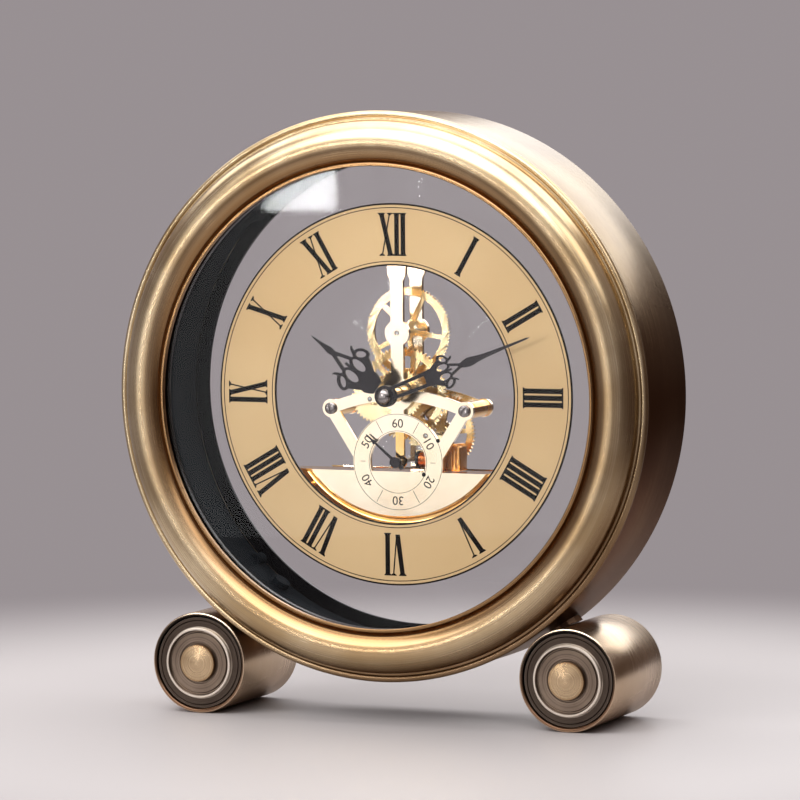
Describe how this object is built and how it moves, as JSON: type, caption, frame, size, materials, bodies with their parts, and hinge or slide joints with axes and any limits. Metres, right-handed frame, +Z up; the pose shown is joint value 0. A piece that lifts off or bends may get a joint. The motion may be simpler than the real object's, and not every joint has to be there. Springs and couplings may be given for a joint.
{
  "type": "pendulum desk clock",
  "caption": "Round brass desk clock on two cylinder feet, with a roman dial ring and a skeleton quartz movement between clear discs.",
  "frame": {"origin": "centre of the bounding box at floor level, midway between the two feet", "axes": "+X to the clock's right seen from the front, +Y from the dial to the back, +Z up"},
  "size_m": [0.2, 0.0536, 0.2143],
  "materials": {
    "case_brass": "brushed antique brass, satin lacquer",
    "satin_gold": "satin pale gold plate",
    "mirror_gold": "mirror-polished pale gold plate",
    "dark_bronze": "dark bronzed, turned rings",
    "liner_black": "satin black lacquer",
    "black_steel": "blackened, satin",
    "steel": "bright turned steel",
    "black_plastic": "matt moulded",
    "amber_plastic": "glossy amber moulding",
    "copper_wire": "enamelled copper winding",
    "cell_jacket": "plain green jacket",
    "clear_glass": "clear, polished"
  },
  "bodies": {
    "case": {"drum_case": "case_brass", "front_bezel": "case_brass", "inner_liner": "liner_black", "front_glass": "clear_glass", "glass_retainer": "case_brass", "rear_disc": "clear_glass", "rear_ring": "case_brass", "rear_screw_1": "steel", "rear_screw_2": "steel", "rear_screw_3": "steel", "rear_screw_4": "steel", "foot_barrel_left": "case_brass", "foot_cap_left": "dark_bronze", "foot_button_left": "satin_gold", "foot_saddle_left": "case_brass", "foot_screw_left": "black_steel", "foot_barrel_right": "case_brass", "foot_cap_right": "dark_bronze", "foot_button_right": "satin_gold", "foot_saddle_right": "case_brass", "foot_screw_right": "black_steel", "dial_ring": "satin_gold", "front_plate": "mirror_gold", "rear_plate": "mirror_gold", "base_block": "mirror_gold", "seconds_bridge": "mirror_gold", "pillar_top": "mirror_gold", "pillar_left": "mirror_gold", "pillar_right": "mirror_gold", "pillar_base_left": "mirror_gold", "pillar_base_right": "mirror_gold", "plate_screw_left": "steel", "plate_screw_right": "steel", "nut_top": "steel", "nut_base_left": "steel", "nut_base_right": "steel", "coil_bobbin": "black_plastic", "coil_winding": "copper_wire", "stator": "steel", "motor_housing": "amber_plastic", "battery_box": "black_plastic", "battery_cell": "cell_jacket", "motion_stud": "steel"},
    "minute_train": {"centre_arbor": "steel", "centre_wheel": "satin_gold", "top_wheel_driver": "satin_gold", "cannon_pinion": "steel", "minute_hand": "black_steel", "hand_nut": "black_steel", "setting_knob": "black_plastic"},
    "hour_train": {"hour_wheel": "satin_gold", "hour_hand": "black_steel"},
    "motion_work": {"motion_wheel": "satin_gold"},
    "third_train": {"third_arbor": "steel", "third_wheel": "satin_gold"},
    "seconds_train": {"seconds_arbor": "steel", "seconds_hand": "black_steel"},
    "top_train": {"top_arbor": "steel", "top_wheel": "satin_gold"},
    "battery_lid": {"battery_cover": "black_plastic"}
  },
  "joints": [
    {"name": "minute_turn", "type": "hinge", "parent": "case", "child": "minute_train", "pos_m": [0, 0, 0.11425], "axis": [0, 1, 0], "continuous": true},
    {"name": "hour_turn", "type": "hinge", "parent": "case", "child": "hour_train", "pos_m": [0, 0, 0.11425], "axis": [0, 1, 0], "continuous": true},
    {"name": "motion_turn", "type": "hinge", "parent": "case", "child": "motion_work", "pos_m": [-0.01062, 0, 0.11228], "axis": [0, 1, 0], "continuous": true},
    {"name": "third_turn", "type": "hinge", "parent": "case", "child": "third_train", "pos_m": [0.01066, 0, 0.09975], "axis": [0, 1, 0], "continuous": true},
    {"name": "seconds_turn", "type": "hinge", "parent": "case", "child": "seconds_train", "pos_m": [0, 0, 0.09025], "axis": [0, 1, 0], "continuous": true},
    {"name": "top_turn", "type": "hinge", "parent": "case", "child": "top_train", "pos_m": [0, 0, 0.13575], "axis": [0, 1, 0], "continuous": true},
    {"name": "battery_lid_pull", "type": "slide", "parent": "case", "child": "battery_lid", "axis": [0, 1, 0], "range_m": [0, 0.03]}
  ],
  "couplings": [
    {"joint": "hour_turn", "follows": "minute_turn", "ratio": 0.083333},
    {"joint": "motion_turn", "follows": "minute_turn", "ratio": -0.33333},
    {"joint": "third_turn", "follows": "minute_turn", "ratio": -8},
    {"joint": "seconds_turn", "follows": "minute_turn", "ratio": 60},
    {"joint": "top_turn", "follows": "minute_turn", "ratio": -0.375}
  ]
}
